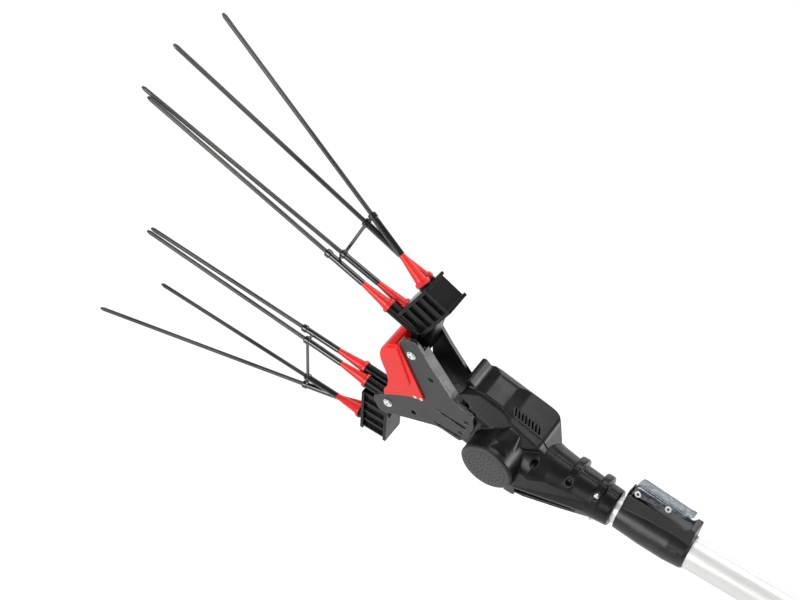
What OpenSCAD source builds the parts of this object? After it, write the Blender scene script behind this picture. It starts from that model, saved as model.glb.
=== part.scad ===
// Electric olive harvester: two swinging combs in a fork, on a telescopic pole.
// X runs forward along the pole, Y to the left, Z up. All sizes are millimetres.
// The head frame starts on the motor axis and is tilted up from the pole.
// The comb frame starts on a comb's pivot shaft and is tilted again.

/* [Pole] */
// outer tube outside radius
pole_r = 17.5; // [15:0.5:20]
// outer tube wall
pole_wall = 2.2; // [1.6:0.1:2.8]
// outer tube length as modelled
pole_len = 372; // [320:1:420]
// inner tube wall
inner_wall = 1.8; // [1.2:0.1:2.6]
// inner tube length kept inside the outer tube
inner_tail = 300; // [200:5:310]

/* [Clamp] */
// clamp sleeve length
clamp_len = 81; // [76:1:90]
// sleeve wall over the outer tube
clamp_wall = 2.2; // [1.8:0.1:3]
// turn of the clamp about the pole
clamp_roll = 25; // [0:1:45]
// outside width of the lever channel
lever_w = 19; // [17:0.5:21]
// sheet thickness of the lever
lever_t = 1.6; // [1.2:0.1:2]

/* [Housing] */
// wall of the housing halves
shell = 3; // [2.5:0.1:3.5]
// reach of the motor axis from the neck mouth
motor_reach = 133; // [128:1:140]
// height of the motor axis over the pole axis
motor_z = 14; // [12:0.5:16]
// upward tilt of the head from the pole
head_tilt = 12.4; // [9:0.2:15]
// outside radius of the motor barrel
barrel_r = 30.5; // [30:0.25:32]
// left end of the motor barrel
barrel_y = 45; // [42:0.5:48]
// right wall of the gear box
box_right = 44; // [42:0.5:46]
// number of vent slots
vent_count = 8; // [4:1:9]

/* [Fork] */
// half width over the fork plates
fork_half = 24.3; // [23:0.1:26]
// fork plate thickness
plate_t = 4; // [3.5:0.1:5]
// pivots ahead of the motor axis
pivot_u = 128; // [124:1:132]
// pivots above and below the fork's middle line
pivot_w = 54.3; // [52:0.1:57]
// pivot shaft radius
shaft_r = 5; // [4.5:0.1:5.5]

/* [Drive] */
// tooth module of the gear pair
gear_module = 1; // [0.95:0.01:1.05]
// teeth on the motor pinion
pinion_teeth = 16; // [15:1:17]
// teeth on the crank gear
gear_teeth = 48; // [46:1:49]
// throw of the crank pin
crank_throw = 4; // [3:0.1:5]
// lever arm of each comb, back from the pivot and in towards the middle line
lever_arm = [8, 32]; // [6:0.5:34]
// motor can radius
motor_r = 22.5; // [20:0.25:23]

/* [Combs] */
// tilt of a comb from the fork's middle line
comb_tilt = 12.7; // [10:0.1:16]
// half width of the comb flanges
comb_half = 15; // [14.5:0.1:16]
// distance between the two tine columns
tine_gap = 14; // [13.6:0.1:15]
// height of the outer and inner tine pair over the pivot
pair_q = [80.9, 12.5]; // [12:0.1:84]
// step between the two tines of the outer pair
pair_step = 10; // [9:0.1:11]
// sideways lean of the outer and inner tines, as a slope
lean = [0.11, 0.012]; // [0.008:0.001:0.13]
// splay of the outer and inner tines in the swing plane
splay = [8.3, -6.05]; // [-8:0.05:10]
// tine radius
tine_r = 2.4; // [2:0.1:2.6]
// lengths of the upper tines from the holder foot
upper_len = [328, 338, 357, 333]; // [300:1:400]
// lengths of the lower tines from the holder foot
lower_len = [378, 332, 316, 304]; // [300:1:400]
// length of a tine holder
holder_len = 37; // [34:0.5:40]
// distance of the brace rings from the holder foot
ring_at = 84; // [80:0.5:90]

/* [Hidden] */
$fn = 48;
slide_gap = 0.3;
run_gap = 0.05;
fix_gap = 0.05;
side_gap = 0.4;
inner_r = pole_r - pole_wall - slide_gap;
seat_r = pole_r - 0.2;
mouth_x = pole_len + 12;
clamp_x = mouth_x - clamp_len;
clamp_r = pole_r + clamp_wall;
neck_x = mouth_x + 6;
motor_x = neck_x + motor_reach;
inner_x = mouth_x - inner_tail;
inner_end = neck_x + 76;
latch = [pole_len + 2, clamp_r + 15.5];
pad_top = latch[1] - 6.6;
lug_y = [4.6, lever_w / 2 - lever_t - 0.4];
pocket_half = lever_w / 2 + 0.6;
boss_half = pocket_half + 2.6;
pinion_r = gear_module * pinion_teeth / 2;
gear_r = gear_module * gear_teeth / 2;
gear_u = pinion_r + gear_r;
plate_in = fork_half - plate_t;
box_left = plate_in - 0.1;
plate_back = gear_u - 15;
plate_step = 5;
right_out = fork_half - plate_step;
right_in = right_out - plate_t;
arm_back = gear_u + gear_r + 3;
arm_low = 4;
left_back = gear_u + 2;
left_notch = pivot_u - 26;
right_notch = pivot_u - 54;
bearing_r = 9;
axle_r = 4;
crank_pin_r = 3;
rod_t = 5.6;
rod_y = [0.4, 0.4 + rod_t];
gear_y = [-17.5, -9.5];
motor_y = [9, barrel_y - 1.5];
cap_t = 3.4;
bush_r = shaft_r + 2;
hub_half = right_in - 2;
lever_y = [rod_y[1] + side_gap, rod_y[1] + side_gap + 6];
lever_pin_r = 3;
hub_r = bush_r + 3.5;
plain_hole = [98, 37.8];
pan_r = 4.4;
foot_p = [44.4, 44.4, 38.4, 50.1];
flange_p = [6, 37];
flange_t = 3.5;
flange_q = [24, pair_q[0] + 13];
core_half = comb_half - 4;
holder_r = 8;
socket_r = 6.8;
sleeve_r = tine_r + 1.2;
screw_r = 2;
screw_head_r = 3.1;
guard_screw_r = 1.2;
neck_screw_z = inner_r + 6.5;
neck_screw_x = [neck_x + 20, neck_x + 51.5];
collar_x = [neck_x + 15.5, neck_x + 47];
collar_r = [23.5, 25.8];
collar_lift = 4;
seam_w = 0.7;
seam_deep = 1.2;
head_seat = 11.5;
body_screw = [[-38, 20.5], [-37, -25], [56, -26]];

// short helpers: unit vector, polar point and a turned point
function unit(v) = v / norm(v);
function polar(r, a) = [r * cos(a), r * sin(a)];
function turned(p, a) = [p[0] * cos(a) - p[1] * sin(a), p[0] * sin(a) + p[1] * cos(a)];
// angle folded into the half turn either way
function folded(a) = a > 180 ? a - 360 : (a < -180 ? a + 360 : a);
// corner p rounded by radius r towards its neighbours
function rounded(a, p, b, r, n) =
  let (d1 = unit(a - p), d2 = unit(b - p), half = acos(d1 * d2) / 2)
  let (c = p + unit(d1 + d2) * r / sin(half))
  let (s = p + d1 * r / tan(half) - c, e = p + d2 * r / tan(half) - c)
  let (a1 = atan2(s[1], s[0]), da = folded(atan2(e[1], e[0]) - a1))
  [for (i = [0 : n]) c + polar(r, a1 + da * i / n)];
// outline [[x, y, radius], ...] with every corner rounded
function soft(pts, n = 5) =
  let (k = len(pts))
  [for (i = [0 : k - 1])
    let (a = pts[(i + k - 1) % k], p = pts[i], b = pts[(i + 1) % k])
    each rounded([a[0], a[1]], [p[0], p[1]], [b[0], b[1]], p[2], n)];
// corner of an outline: a point with its rounding radius
function corner(p, r) = [p[0], p[1], r];
// outline from a notch point on the middle line and the corners of its upper half
function both_arms(notch, half) =
  concat([notch], half, [for (i = [len(half) - 1 : -1 : 0]) [half[i][0], -half[i][1], half[i][2]]]);

module in_head() { translate([motor_x, 0, motor_z]) rotate([0, -head_tilt, 0]) children(); }
module on_upper() { in_head() translate([pivot_u, 0, pivot_w]) rotate([0, -comb_tilt, 0]) children(); }
module on_lower() {
  in_head() rotate([180, 0, 0]) translate([pivot_u, 0, pivot_w]) rotate([0, -comb_tilt, 0]) children();
}
module on_clamp() { rotate([clamp_roll, 0, 0]) children(); }
// side outline drawn in X and Z, pulled out between two Y planes
module along_y(y0, y1) {
  translate([0, y1, 0]) rotate([90, 0, 0]) linear_extrude(height = y1 - y0) children();
}
// front outline drawn in Y and Z, pulled out between two X planes
module along_x(x0, x1) {
  translate([x0, 0, 0]) rotate([90, 0, 90]) linear_extrude(height = x1 - x0) children();
}
// half profile of radius over X, turned about the X axis
module about_x(pts) { rotate([0, 90, 0]) rotate_extrude() polygon(pts); }
module rod_x(x0, x1, r) { translate([x0, 0, 0]) rotate([0, 90, 0]) cylinder(r = r, h = x1 - x0); }
module tube_x(x0, x1, r, bore) {
  difference() {
    rod_x(x0, x1, r);
    rod_x(x0 - 1, x1 + 1, bore);
  }
}
module pin_y(u, w, r, y0, y1) { translate([u, y1, w]) rotate([90, 0, 0]) cylinder(r = r, h = y1 - y0); }
// round bar between two points
module bar(a, b, r) {
  d = b - a;
  translate(a) rotate([0, acos(d[2] / norm(d)), atan2(d[1], d[0])]) cylinder(r = r, h = norm(d), $fn = 24);
}

// pole and clamp

// Tube with its front end turned down a little as the seat of the clamp.
module outer_pole() {
  color([0.86, 0.86, 0.84]) difference() {
    union() {
      rod_x(0, clamp_x - 1, pole_r);
      rod_x(clamp_x - 2, pole_len, seat_r);
    }
    rod_x(-1, pole_len + 1, pole_r - pole_wall);
  }
}

module inner_pole() color([0.8, 0.8, 0.79]) tube_x(inner_x, inner_end, inner_r, inner_r - inner_wall);

// Sleeve with a stepped bore: it seats on the outer tube's end and guides the inner tube.
// A boss with a pocket on top carries two lugs, which the lever straddles.
module clamp_sleeve() {
  floor_z = pad_top - 3.2;
  color([0.08, 0.08, 0.09]) on_clamp() difference() {
    union() {
      about_x([[0, clamp_x], [clamp_r - 1.5, clamp_x], [clamp_r, clamp_x + 3],
        [clamp_r + 1.2, clamp_x + 22],
        [clamp_r + 0.6, clamp_x + 50], [clamp_r - 1, mouth_x - 8], [clamp_r - 1.5, mouth_x], [0, mouth_x]]);
      difference() {
        union() {
          along_y(-boss_half, boss_half)
            polygon(soft([[clamp_x + 2, 0, 1], [mouth_x - 1, 0, 1], [mouth_x - 1, latch[1] - 5, 2],
              [latch[0] - 16, latch[1] - 5, 6],
              [clamp_x + 12, latch[1] - 8, 3], [clamp_x + 8, latch[1] - 3, 2],
                [clamp_x + 2, latch[1] - 3, 2]]));
          along_x(latch[0] + 8.4, mouth_x - 0.3)
            polygon(soft([[-boss_half - 2, 0, 1], [boss_half + 2, 0, 1], [boss_half, latch[1] - 2, 7],
              [-boss_half, latch[1] - 2, 7]]));
        }
        along_y(-pocket_half, pocket_half) polygon([[clamp_x + 9, latch[1] - 9], [latch[0] - 18, floor_z],
          [latch[0] + 8.4, floor_z], [latch[0] + 8.4, 60], [clamp_x + 9, 60]]);
      }
      for (side = [0, 1]) mirror([0, side, 0]) along_y(lug_y[0], lug_y[1])
        polygon(soft([[latch[0] - 12, 0, 1], [latch[0] + 7, 0, 1], [latch[0] + 5.4, latch[1] - 4, 2],
          [latch[0] + 4.6, latch[1] + 4.6, 4], [latch[0] - 4.6, latch[1] + 4.6, 4],
            [latch[0] - 8, latch[1] - 6, 3]]));
      for (side = [0, 1]) mirror([0, side, 0]) along_y(clamp_r - 4, clamp_r + 1.3)
        polygon(soft([[clamp_x + 8, -4, 1.5], [clamp_x + 62, -2, 1], [clamp_x + 62, 2, 1],
          [clamp_x + 8, 4, 1.5]]));
    }
    rod_x(clamp_x - 1, pole_len + fix_gap, seat_r + fix_gap);
    rod_x(clamp_x, mouth_x + 1, inner_r + slide_gap);
    along_y(-lug_y[0], lug_y[0]) translate([pole_len + 0.3, 0]) square([latch[0] + 7.6 - pole_len, 60]);
    pin_y(latch[0], latch[1], 2.5 + fix_gap, -lever_w, lever_w);
  }
}

// Pad under the lever's cam, hollowed to the inner tube.
module clamp_pad() {
  color([0.75, 0.74, 0.7]) on_clamp() difference() {
    along_y(-lug_y[0] + 0.3, lug_y[0] - 0.3) translate([pole_len + 0.6, 0])
      square([latch[0] + 7 - pole_len, pad_top - 0.3]);
    rod_x(0, neck_x, inner_r + slide_gap);
  }
}

// Folded channel round the lugs, with an off-centre cam between them.
module clamp_lever() {
  tail = clamp_x + 12;
  crown = latch[1] + 9.5;
  color([0.66, 0.68, 0.71]) on_clamp() difference() {
    union() {
      along_y(-lever_w / 2, lever_w / 2)
        polygon([[latch[0] + 3, crown - lever_t], [latch[0] + 3, crown], [tail + 6, crown - 4],
          [tail, crown - 2], [tail - 0.6, crown - 3.4], [tail + 6, crown - 4 - lever_t]]);
      for (side = [0, 1]) mirror([0, side, 0]) along_y(lever_w / 2 - lever_t, lever_w / 2)
        polygon(soft([[latch[0] + 6, latch[1] - 5, 4.5], [latch[0] + 5, crown - 0.2, 3],
          [tail + 6, crown - 4.3, 0.4],
          [tail + 7, crown - 8, 0.4], [latch[0] - 14, latch[1] - 3.6, 4]]));
      along_y(-lug_y[0] + 0.4, lug_y[0] - 0.4) {
        translate([latch[0] - 0.9, latch[1] - 0.9]) circle(r = 5);
        translate([latch[0] - 4, latch[1]]) square([6.5, crown - 1 - latch[1]]);
      }
    }
    pin_y(latch[0], latch[1], 2.5 + run_gap, -lever_w, lever_w);
    pin_y(latch[0] - 34, latch[1] + 2.6, 2 + fix_gap, -lever_w, lever_w);
  }
}

module clamp_pin() {
  color([0.7, 0.7, 0.72]) on_clamp() {
    pin_y(latch[0], latch[1], 2.5, -lever_w / 2 - 0.6, lever_w / 2 + 0.6);
    for (side = [0, 1]) mirror([0, side, 0]) pin_y(latch[0], latch[1], 3.6, lever_w / 2 + 0.3,
      lever_w / 2 + 1.1);
  }
}

module clamp_rivet() {
  at = [latch[0] - 34, latch[1] + 2.6];
  color([0.72, 0.73, 0.75]) on_clamp() {
    pin_y(at[0], at[1], 2, -lever_w / 2 - 0.1, lever_w / 2 + 0.1);
    pin_y(at[0], at[1], 3.4, lever_w / 2 + 0.1, lever_w / 2 + 1.1);
    pin_y(at[0], at[1], 3.4, -lever_w / 2 - 1.1, -lever_w / 2 - 0.1);
  }
}

// housing

// Side outline of the gear box in the head frame, drawn in by a wall thickness.
function box_side(t) = soft([[-50 + t, 19 - t, 4], [-33 + t, 33 - t, 9], [9, 36 - t, 25],
  [22, 40.2 - t, 12],
  [44, 40.2 - t, 16], [66 - t, 31 - t, 5], [66 - t, -26, 8], [50, -36 + t, 14], [-30 + t, -34 + t, 10],
    [-40 + t, -20 + t, 4]]);
// Plan and front outlines: the right wall bulges, the left top edge falls away in a slope.
function box_plan(t) = soft([[-50 + t, -20 + t, 12], [-28 + t, -box_right + 4 + t, 14],
  [20, -box_right - 1 + t, 60],
  [46, -box_right + 2 + t, 20], [67 - t, -box_right + 9 + t, 9], [67 - t, box_left - t, 6],
    [-10, box_left - t, 14], [-50 + t, 2 - t, 8]]);
function box_front(t) = soft([[-box_right - 1 + t, -36 + t, 13], [-box_right - 1 + t, 40.5 - t, 18],
  [1, 40.5 - t, 12],
  [box_left - t, 23 - t, 10], [box_left - t, -36 + t, 9]]);

module gear_box(t) {
  intersection() {
    along_y(-box_right - 2, box_left + 1) polygon(box_side(t));
    translate([0, 0, -60]) linear_extrude(height = 120) polygon(box_plan(t));
    translate([-60, 0, 0]) rotate([90, 0, 90]) linear_extrude(height = 150) polygon(box_front(t));
  }
}

// Neck with two screw collars that stand out at the top, flared into the gear box.
module neck_form(t = 0) {
  about_x([[0, neck_x], [19.5 - t, neck_x], [20.8 - t, neck_x + 1.5], [22.3 - t, neck_x + 20],
    [24.6 - t, neck_x + 44],
    [26.5 - t, neck_x + 59], [29 - t, neck_x + 76], [33 - t, neck_x + 92], [33 - t, neck_x + 112],
      [0, neck_x + 112]]);
  for (k = [0, 1]) translate([0, -3, collar_lift]) about_x([[0, collar_x[k] - 1.5], [17, collar_x[k] - 1.5],
    [collar_r[k] - 0.6 - t, collar_x[k]], [collar_r[k] - t, collar_x[k] + 1.5],
      [collar_r[k] - t, collar_x[k] + 7],
    [collar_r[k] - 0.6 - t, collar_x[k] + 8.5], [17, collar_x[k] + 10], [0, collar_x[k] + 10]]);
}

// Shadow groove along the joint of the two halves.
module seam_groove() {
  intersection() {
    translate([neck_x - 1, -seam_w, -100]) cube([motor_x, seam_w + 0.1, 250]);
    difference() {
      union() {
        neck_form();
        in_head() gear_box(0);
      }
      union() {
        neck_form(seam_deep);
        in_head() gear_box(seam_deep);
      }
    }
  }
}

// Shoulder that leads from the gear box's left edge down to the motor barrel's rim.
module shoulder() {
  hull() {
    along_y(6, 11) polygon(soft([[-12, 22, 3], [-11, 33, 3], [5, 34, 3], [7, 22, 3]]));
    pin_y(0, 0, barrel_r - 1.2, 30, barrel_y - 7, $fn = 40);
  }
}

// Flank gusset from the neck to the motor barrel, with two long open slots.
module flank() {
  difference() {
    hull() {
      along_x(neck_x + 14, neck_x + 18) polygon([[6, -14], [18, -10], [20, 0], [16, 13], [6, 13]]);
      along_x(motor_x - 32, motor_x - 22)
        polygon([[6, -22], [barrel_y - 5, -16], [barrel_y - 3, 2], [26, 17], [6, 17]]);
    }
    for (k = [0, 1]) along_y(20.5, barrel_y) polygon([[neck_x + 34, -3 - 5 * k],
      [neck_x + 34, -6.2 - 5 * k],
      [motor_x - 34, -8 - 8.5 * k], [motor_x - 34, -1.5 - 8.5 * k]]);
  }
}

module housing_form() {
  neck_form();
  in_head() gear_box(0);
  in_head() pin_y(0, 0, barrel_r, -20, barrel_y);
  in_head() shoulder();
  flank();
}

// Room inside the housing for tube, motor, gears and rods, and the way out in front.
module housing_room() {
  rod_x(neck_x - 1, inner_end + 0.2, inner_r + fix_gap);
  rod_x(inner_end, neck_x + 100, 22);
  in_head() gear_box(shell);
  in_head() pin_y(0, 0, motor_r + 1.2, -20, barrel_y + 1);
  in_head() pin_y(0, 0, barrel_r - 0.9, barrel_y - 1, barrel_y + 1);
  in_head() along_y(-fork_half - 1, box_left - shell) polygon(soft([[50, -28, 3], [90, -28, 3],
    [90, 28, 3], [50, 28, 3]]));
  in_head() along_y(-fork_half - slide_gap, -plate_in + slide_gap)
    polygon(plate_outline(plate_back, right_notch, 2 * slide_gap, arm_low));
}

module screw_bosses() {
  in_head() for (p = body_screw) pin_y(p[0], p[1], 5.2, -18, head_seat - 0.1);
  in_head() pin_y(gear_u, 0, bearing_r + 3.5, -box_right + 1, -box_right + shell + 9);
  in_head() for (s = [1, -1]) pin_y(plate_screw(s)[0], plate_screw(s)[1], 4.8, -box_right + shell - 1,
    -fork_half - 0.05);
}

module screw_holes() {
  for (x = neck_screw_x, s = [1, -1]) {
    pin_y(x, s * neck_screw_z, screw_r + fix_gap, -14, 40);
    pin_y(x, s * neck_screw_z, screw_head_r + 0.4, head_seat, 40);
  }
  in_head() for (p = body_screw) {
    pin_y(p[0], p[1], screw_r + fix_gap, -14, 40);
    pin_y(p[0], p[1], screw_head_r + 0.4, head_seat, 40);
  }
  in_head() pin_y(gear_u, 0, bearing_r + fix_gap, -box_right + shell, -box_right + shell + 20);
  in_head() for (s = [1, -1]) pin_y(plate_screw(s)[0], plate_screw(s)[1], screw_r + fix_gap,
    -fork_half - 8.1, 40);
}

// Concave fan scooped out of the left shoulder above the cap.
module fan_scoop() { translate([-3, 11, 35]) rotate([-60, 0, 0]) cylinder(r1 = 0.5, r2 = 22.5, h = 22); }

module housing_left() {
  color([0.1, 0.1, 0.11]) difference() {
    union() {
      difference() {
        housing_form();
        housing_room();
      }
      screw_bosses();
    }
    screw_holes();
    in_head() fan_scoop();
    translate([0, -200, -200]) cube([2 * motor_x, 200, 400]);
  }
}

module housing_right() {
  color([0.1, 0.1, 0.11]) difference() {
    union() {
      difference() {
        housing_form();
        housing_room();
      }
      screw_bosses();
      in_head() along_y(-box_right + 8, -2)
        polygon(soft([[55, 33, 1], [66, 27, 1], [71, 37, 1.5], [67, 40.5, 2], [60, 36.5, 3]]));
    }
    screw_holes();
    seam_groove();
    in_head() for (k = [0 : vent_count - 1]) translate([4.4 * k - 22, -8, 20]) rotate([0, 0, 28])
      translate([-0.9, -4.5, 0]) cube([1.8, 9, 40]);
    in_head() along_y(-right_out - slide_gap, -right_in + slide_gap)
      polygon(arm_outline(2 * slide_gap));
    translate([0, 0, -200]) cube([2 * motor_x, 200, 400]);
  }
}

// Dished cap with five rings of blind dimples.
module motor_cap() {
  face = barrel_y - 0.9 + cap_t;
  color([0.38, 0.38, 0.39]) in_head() difference() {
    translate([0, barrel_y - 0.9, 0]) rotate([-90, 0, 0]) rotate_extrude()
      polygon([[0, 0], [barrel_r - 1, 0], [barrel_r - 1, cap_t - 1.6], [barrel_r - 2.4, cap_t - 0.5],
        [barrel_r - 9, cap_t], [0, cap_t]]);
    for (ring = [1 : 5], k = [0 : 6 * ring - 1])
      translate([0, face, 0]) rotate([0, 60 * k / ring + 12 * ring, 0])
        pin_y(4.7 * ring, 0, 0.8, -0.9, 1, $fn = 16);
  }
}

module housing_screw(x, z) {
  pin_y(x, z, screw_r, -13, head_seat + 0.2);
  pin_y(x, z, screw_head_r, head_seat + 0.1, head_seat + 2.9);
}

module housing_screws() {
  color([0.72, 0.72, 0.74]) {
    for (x = neck_screw_x, s = [1, -1]) housing_screw(x, s * neck_screw_z);
    in_head() for (p = body_screw) housing_screw(p[0], p[1]);
  }
}

// fork and guard

// Plate outline with its two arms: back edge, notch between the arms, room round it, drop of the outer edge,
// and the rounding of its waist and heel.
function plate_outline(back, notch, room = 0, low = 0, waist = 24, heel = 5) = soft(both_arms([notch, 0, 6],
  [[pivot_u + 5, pivot_w - 14, 8], [pivot_u + 19, pivot_w + 8, 7],
  [pivot_u + 4, pivot_w + 26 - 0.6 * low, 8], [pivot_u - 23, pivot_w + 4 - low + room, 20],
  [pivot_u - 60, pivot_w - 24.3 - low + room, waist], [back + 6 - room, 27 + room, heel],
  [back - room, 12, 4]]));
// Outline of the right plate's arms, with room round it.
function arm_outline(room = 0) = plate_outline(arm_back, right_notch, room, arm_low, 2, 2);

function plate_screw(s) = [43, s * 12];

module shaft_holes() { for (s = [1, -1]) translate([pivot_u, s * pivot_w]) circle(r = shaft_r + fix_gap); }

module screw_places() { for (s = [1, -1]) translate(plate_screw(s)) circle(r = screw_r + fix_gap); }

// Long slots, wide at the housing and narrow towards the lower arm.
module plate_relief(out) {
  along_y(out - 2.2, out + 1) for (k = [0, 1]) {
    tail = [left_back + 6, 1.5 - 21.5 * k];
    head = [pivot_u - 46, -4 - 25 * k];
    side = turned(unit(head - tail), 90);
    polygon(soft([corner(tail + side * 3, 1.4), corner(tail - side * 3, 1.4),
      corner(head - side * 0.9, 0.7),
      corner(head + side * 0.9, 0.7)], 3));
  }
}

module fork_left() {
  color([0.3, 0.3, 0.31]) in_head() difference() {
    along_y(plate_in, fork_half) difference() {
      polygon(plate_outline(left_back, left_notch));
      shaft_holes();
      screw_places();
      for (s = [1, -1]) translate([plain_hole[0], s * plain_hole[1]]) circle(r = 2.9);
      for (k = [0, 1]) translate(guard_screw(k)) circle(r = guard_screw_r + fix_gap);
    }
    plate_relief(fork_half);
    for (s = [1, -1]) pin_y(plate_screw(s)[0], plate_screw(s)[1], screw_head_r + 0.1, fork_half - 1.9,
      fork_half + 1);
  }
}

// Stepped plate: its back lies deep in the gear box and bears the crank axle, its arms stand further in.
module fork_right() {
  color([0.3, 0.3, 0.31]) in_head() difference() {
    union() {
      along_y(-fork_half, -right_out + 0.6) difference() {
        intersection() {
          polygon(plate_outline(plate_back, right_notch, 0, arm_low));
          translate([0, -40]) square([arm_back + 12, 80]);
        }
        screw_places();
        translate([gear_u, 0]) circle(r = bearing_r + fix_gap);
      }
      along_y(-right_out, -right_in) difference() {
        polygon(arm_outline());
        shaft_holes();
      }
    }
    for (s = [1, -1]) pin_y(plate_screw(s)[0], plate_screw(s)[1], screw_head_r + 0.1, -plate_in - 1.75, 0);
  }
}

// Distance sleeves that centre the combs on their shafts.
module fork_spacers() {
  color([0.6, 0.6, 0.62]) in_head() for (s = [1, -1]) difference() {
    pin_y(pivot_u, s * pivot_w, shaft_r + 2.6, hub_half + 2, plate_in);
    pin_y(pivot_u, s * pivot_w, shaft_r + fix_gap, 0, fork_half);
  }
}

// Two flush screws hold each plate to the gear box.
module fork_screws() {
  color([0.13, 0.13, 0.14]) in_head() for (s = [1, -1]) {
    pin_y(plate_screw(s)[0], plate_screw(s)[1], screw_r, box_left - shell, fork_half - 1.8);
    pin_y(plate_screw(s)[0], plate_screw(s)[1], screw_head_r, fork_half - 1.8, fork_half - 0.2);
    pin_y(plate_screw(s)[0], plate_screw(s)[1], screw_r, -fork_half - 8, -plate_in - 1.7);
    pin_y(plate_screw(s)[0], plate_screw(s)[1], screw_head_r, -plate_in - 1.7, -plate_in - 0.1);
  }
}

function guard_screw(k) = [pivot_u - 31 + 7 * k, -1.5 - 3.5 * k];

// Left cheek with a raised panel, one curved wall across the front and a lip that grips the right plate.
module front_guard() {
  cheek = [[pivot_u - 35, -1.5, 3], [pivot_u + 17, pivot_w + 4, 6], [pivot_u + 36, pivot_w - 22, 9],
    [pivot_u + 9, -pivot_w + 13, 4], [pivot_u + 3, -pivot_w + 15, 4]];
  panel = [[pivot_u - 24, -0.5, 4], [pivot_u + 15, pivot_w - 5, 6], [pivot_u + 33, pivot_w - 22, 9],
    [pivot_u + 10, -pivot_w + 22, 5]];
  lip = [[pivot_u + 16, 4, 20], [pivot_u + 8, pivot_w - 3, 3], [pivot_u + 14, pivot_w + 2, 3],
    [pivot_u + 36, pivot_w - 22, 9], [pivot_u + 9, -pivot_w + 8, 3], [pivot_u + 2, -pivot_w + 9, 3]];
  wall = [[pivot_u + 34.5, pivot_w - 19, 2], [pivot_u + 36, pivot_w - 22, 2.5], [pivot_u + 27, 4, 40],
    [pivot_u + 9, -pivot_w + 14, 1], [pivot_u + 7, -pivot_w + 15, 1], [pivot_u + 24, 4, 40],
    [pivot_u + 33, pivot_w - 22, 1], [pivot_u + 23, pivot_w - 8, 2], [pivot_u + 24.5, pivot_w - 5.5, 1]];
  color([0.86, 0.07, 0.06]) in_head() difference() {
    union() {
      along_y(fork_half + 0.1, fork_half + 2.1) polygon(soft(cheek));
      along_y(fork_half + 2, fork_half + 4) polygon(soft(panel));
      along_y(-right_out - 2.1, -right_out - 0.1) polygon(soft(lip));
      along_y(-right_out - 0.2, fork_half + 0.2) polygon(soft(wall));
    }
    for (k = [0, 1]) pin_y(guard_screw(k)[0], guard_screw(k)[1], guard_screw_r + fix_gap, fork_half, 60);
  }
}

module guard_screws() {
  color([0.75, 0.75, 0.77]) in_head() for (k = [0, 1]) {
    pin_y(guard_screw(k)[0], guard_screw(k)[1], guard_screw_r, fork_half - 3, fork_half + 2.2);
    pin_y(guard_screw(k)[0], guard_screw(k)[1], 2.2, fork_half + 2.1, fork_half + 3.2);
  }
}

// Fork faces at a pivot: the left plate's outside and the right arm's outside.
module both_ends() {
  for (s = [1, -1]) translate([pivot_u, 0, s * pivot_w]) {
    translate([0, fork_half, 0]) children();
    translate([0, -right_out, 0]) mirror([0, 1, 0]) children();
  }
}

module pivot_shafts() {
  color([0.7, 0.7, 0.72]) in_head() difference() {
    for (s = [1, -1]) pin_y(pivot_u, s * pivot_w, shaft_r, -right_out, fork_half);
    both_ends() pin_y(0, 0, 2.5 + fix_gap, -12, 1);
  }
}

module pivot_screws() {
  color([0.82, 0.82, 0.84]) in_head() both_ends() difference() {
    union() {
      pin_y(0, 0, 2.5, -11, 1);
      pin_y(0, 0, pan_r, 0.9, 2.5);
    }
    pin_y(0, 0, 2, 1.5, 6, $fn = 6);
  }
}

module pivot_washers() {
  color([0.75, 0.75, 0.77]) in_head() both_ends() difference() {
    pin_y(0, 0, pan_r + 1, 0, 0.8);
    pin_y(0, 0, 2.5 + fix_gap, -1, 2);
  }
}

// drive

// Straight-sided spur gear with room between the flanks.
module spur(teeth, phase) {
  m = gear_module;
  r = m * teeth / 2;
  root = r - 1.25 * m;
  tip = r + 0.85 * m;
  wide = 0.7 * m;
  narrow = 0.32 * m;
  circle(r = root);
  for (k = [0 : teeth - 1]) rotate(360 * k / teeth + phase)
    polygon([[root - 0.5, -wide - 0.25 * m], [root, -wide - 0.1 * m], [r, -wide], [tip, -narrow],
      [tip, narrow],
      [r, wide], [root, wide + 0.1 * m], [root - 0.5, wide + 0.25 * m]]);
}

module motor_can() {
  color([0.35, 0.36, 0.38]) in_head() difference() {
    union() {
      pin_y(0, 0, motor_r, motor_y[0], motor_y[1]);
      pin_y(0, 0, 8, motor_y[0] - 3, motor_y[0] + 1);
    }
    pin_y(0, 0, 4 + run_gap, motor_y[0] - 4, motor_y[1] - 4);
    for (k = [0 : 5]) rotate([0, 60 * k, 0]) pin_y(14, 0, 3, motor_y[0] - 1, motor_y[0] + 3, $fn = 24);
  }
}

module motor_shaft() color([0.75, 0.75, 0.77]) in_head() pin_y(0, 0, 4, gear_y[0] - 2, motor_y[1] - 5);

module pinion() {
  color([0.62, 0.6, 0.55]) in_head() along_y(gear_y[0], gear_y[1] + 1) difference() {
    spur(pinion_teeth, 180 / pinion_teeth);
    circle(r = 4 + fix_gap);
  }
}

// Gear with six lightening holes; its web carries the crank pin.
module crank_gear() {
  color([0.64, 0.6, 0.5]) in_head() translate([gear_u, 0, 0]) difference() {
    along_y(gear_y[0], gear_y[1]) spur(gear_teeth, 180);
    pin_y(0, 0, axle_r + fix_gap, -60, 0);
    pin_y(crank_throw, 0, crank_pin_r + fix_gap, gear_y[1] - 4, 0);
    for (k = [0 : 5]) rotate([0, 60 * k, 0]) pin_y(gear_r * 0.62, 0, gear_r * 0.17, -60, 0, $fn = 24);
  }
}

module gear_axle() color([0.72, 0.72, 0.74]) in_head() pin_y(gear_u, 0, axle_r, -box_right + shell + 0.3,
  gear_y[1] - 4.2);

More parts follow.
